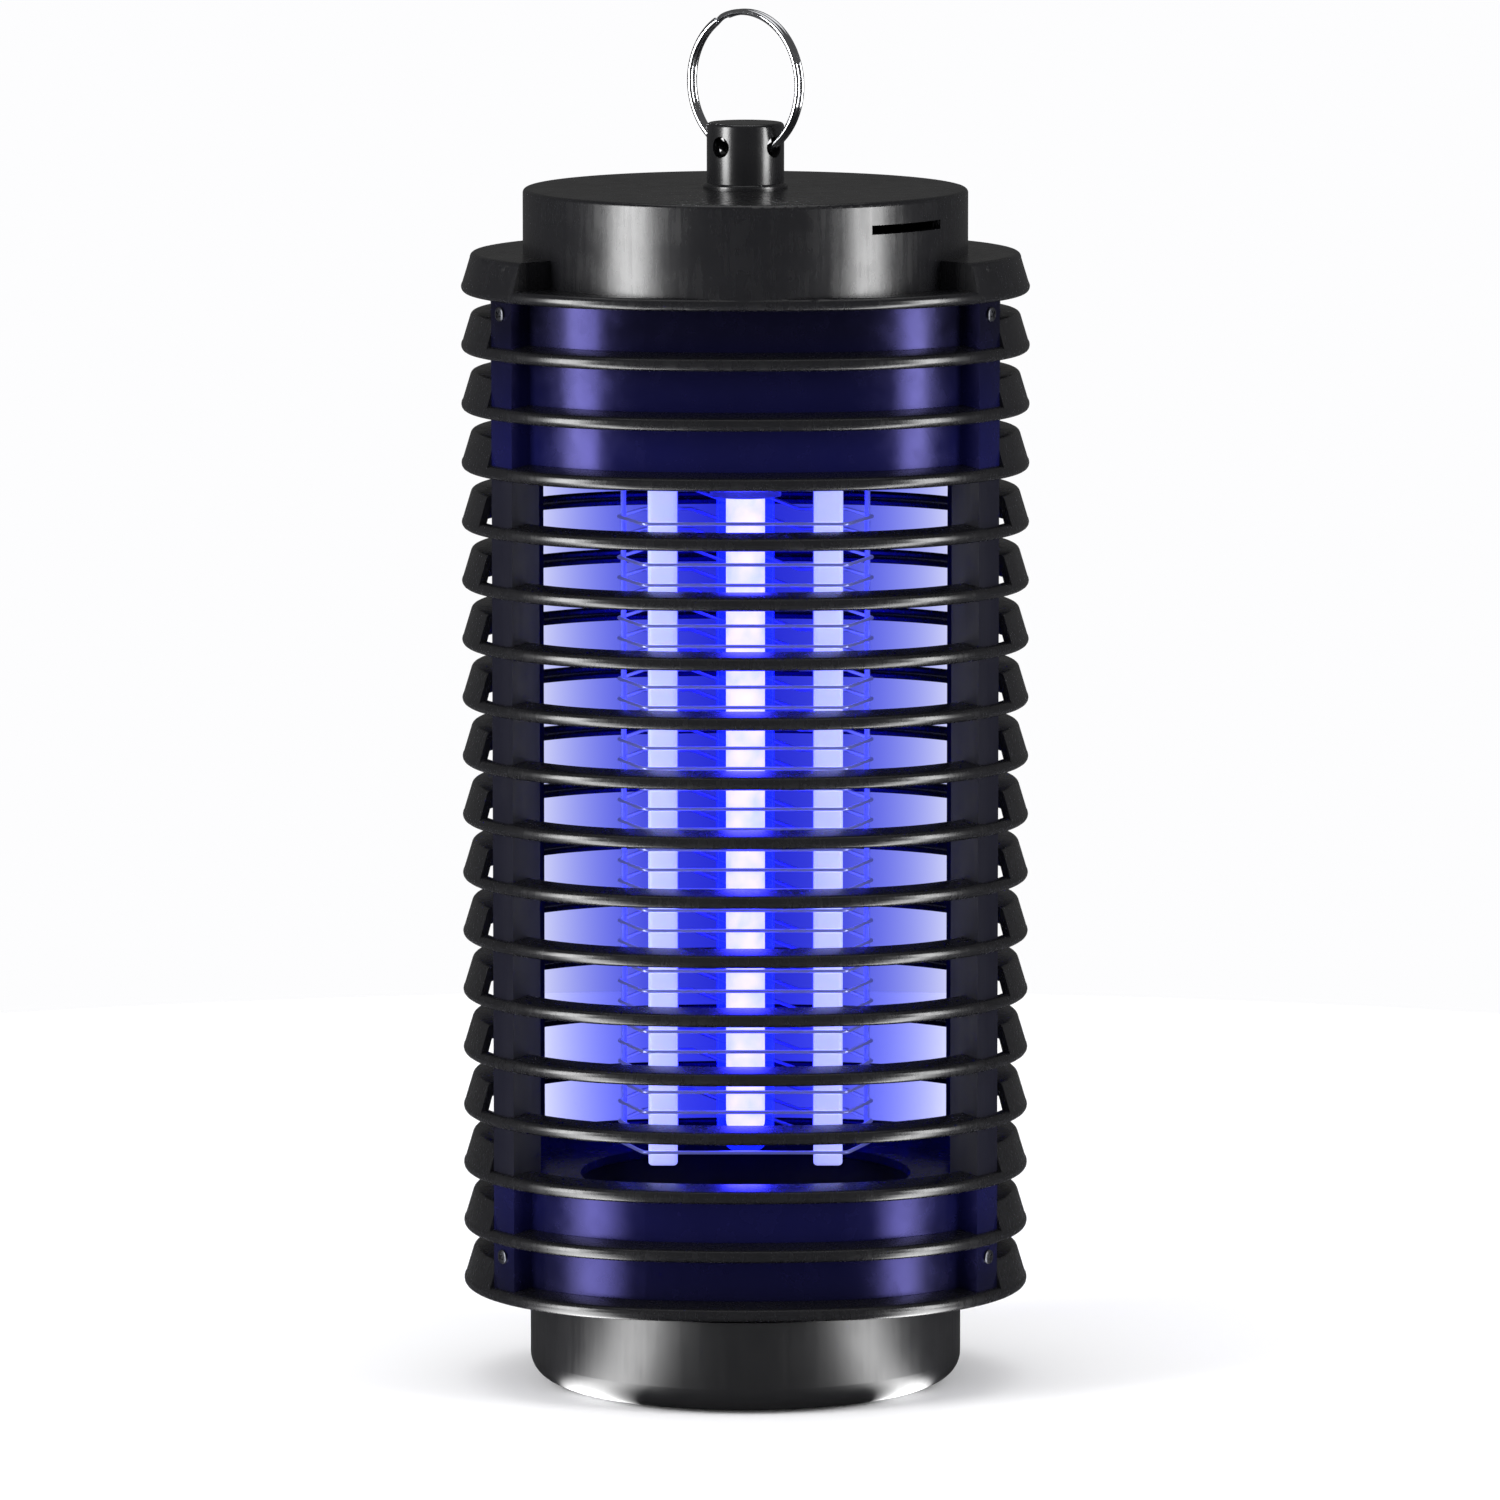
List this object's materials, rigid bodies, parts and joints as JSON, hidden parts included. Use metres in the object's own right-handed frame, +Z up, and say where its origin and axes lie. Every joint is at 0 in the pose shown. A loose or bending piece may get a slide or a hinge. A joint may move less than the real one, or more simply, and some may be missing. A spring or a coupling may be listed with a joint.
{
  "type": "electric bug zapper",
  "caption": "Lantern-shaped electric insect killer: louvred oval housing round an ultraviolet tube and wire grid, pull-off tray below, hanging ring on top.",
  "frame": {"origin": "centre of the footprint on the ground, under the middle of the housing", "axes": "+Z up along the lamp, -Y is the front, X across the wide side of the oval housing"},
  "size_m": [0.125, 0.0986, 0.3043],
  "materials": {
    "housing": "high gloss black moulding",
    "wall": "high gloss blue-black moulding",
    "tray": "high gloss black moulding",
    "hanger": "gloss black enamel",
    "ring": "polished",
    "rubber": "matt",
    "zinc_steel": "zinc plated",
    "corner_screw": "plated",
    "brass": "machined",
    "insulator": "translucent white, satin",
    "rod": "clear satin",
    "wire": "drawn, bright",
    "ceiling": "satin",
    "lamp": "frosted white tube, glows violet blue",
    "lamp_cap": "white moulding",
    "holder": "white moulding",
    "board": "green solder mask",
    "core": "varnished laminations",
    "capacitor": "sleeved",
    "diode": "moulded",
    "resistor": "lacquered",
    "terminal": "moulded"
  },
  "bodies": {
    "housing": {"louvre_02": "housing", "louvre_03": "housing", "louvre_04": "housing", "louvre_05": "housing", "louvre_06": "housing", "louvre_07": "housing", "louvre_08": "housing", "louvre_09": "housing", "louvre_10": "housing", "louvre_11": "housing", "louvre_12": "housing", "louvre_13": "housing", "louvre_14": "housing", "louvre_15": "housing", "louvre_16": "housing", "louvre_17": "housing", "louvre_18": "housing", "column_front_right": "housing", "column_back_right": "housing", "column_front_left": "housing", "column_back_left": "housing", "cap": "housing", "upper_wall": "wall", "lower_wall": "wall", "tray_socket": "wall", "hanger_post": "hanger", "hanger_nut": "zinc_steel", "hanger_washer": "zinc_steel", "cord_grommet": "rubber", "grid_posts": "insulator", "side_rods": "rod", "grid_wire_live": "wire", "grid_wire_return": "wire", "ceiling_plate": "ceiling", "lamp_tube": "lamp", "lamp_cap": "lamp_cap", "lamp_holder": "holder", "lamp_pins": "brass", "circuit_board": "board", "standoffs": "brass", "board_screws": "zinc_steel", "tie_rods": "zinc_steel", "corner_screws": "corner_screw", "step_up_transformer": "core", "capacitors": "capacitor", "diodes": "diode", "resistors": "resistor", "mains_terminal": "terminal"},
    "ring": {"hanging_ring": "ring"},
    "tray": {"collecting_tray": "tray", "rubber_feet": "rubber"}
  },
  "joints": [
    {"name": "ring_swing", "type": "hinge", "parent": "housing", "child": "ring", "pos_m": [0, 0, 0.2743], "axis": [0.7547, -0.6561, 0], "range_deg": [-102, 102]},
    {"name": "tray_slide", "type": "slide", "parent": "housing", "child": "tray", "axis": [0, 0, -1], "range_m": [0, 0.045]}
  ]
}
